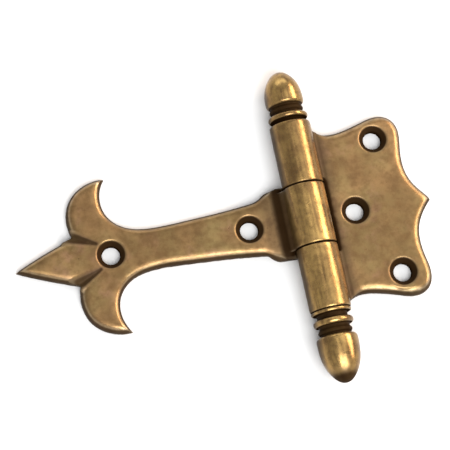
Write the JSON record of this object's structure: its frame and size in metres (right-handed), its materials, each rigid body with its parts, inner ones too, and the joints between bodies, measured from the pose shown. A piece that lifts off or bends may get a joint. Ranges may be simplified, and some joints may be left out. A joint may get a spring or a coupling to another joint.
{
  "type": "door hinge",
  "caption": "Decorative strap hinge for a small door: fleur-de-lis strap leaf, scalloped plate leaf, and turned acorn finials on the pin.",
  "frame": {"origin": "foot of the pin axis on the mounting plane, at the middle of the barrel, where the strap leaf's flat back runs tangent into its knuckle", "axes": "+X from the pin towards the plate leaf (the strap points to -X), +Y along the pin towards the short upper finial, +Z out of the mounting plane towards the front of the hinge"},
  "size_m": [0.1, 0.0759, 0.0098],
  "materials": {
    "antique_brass": "cast, dark antique patina, edges rubbed bright",
    "pin_steel": "drawn, uncoated"
  },
  "bodies": {
    "plate": {"plate_leaf": "antique_brass", "hinge_pin": "pin_steel", "upper_finial": "antique_brass", "lower_finial": "antique_brass"},
    "strap": {"strap_leaf": "antique_brass"}
  },
  "joints": [
    {"name": "strap_swing", "type": "hinge", "parent": "plate", "child": "strap", "pos_m": [0, 0, 0.0049], "axis": [0, 1, 0], "range_deg": [-90, 180]}
  ]
}
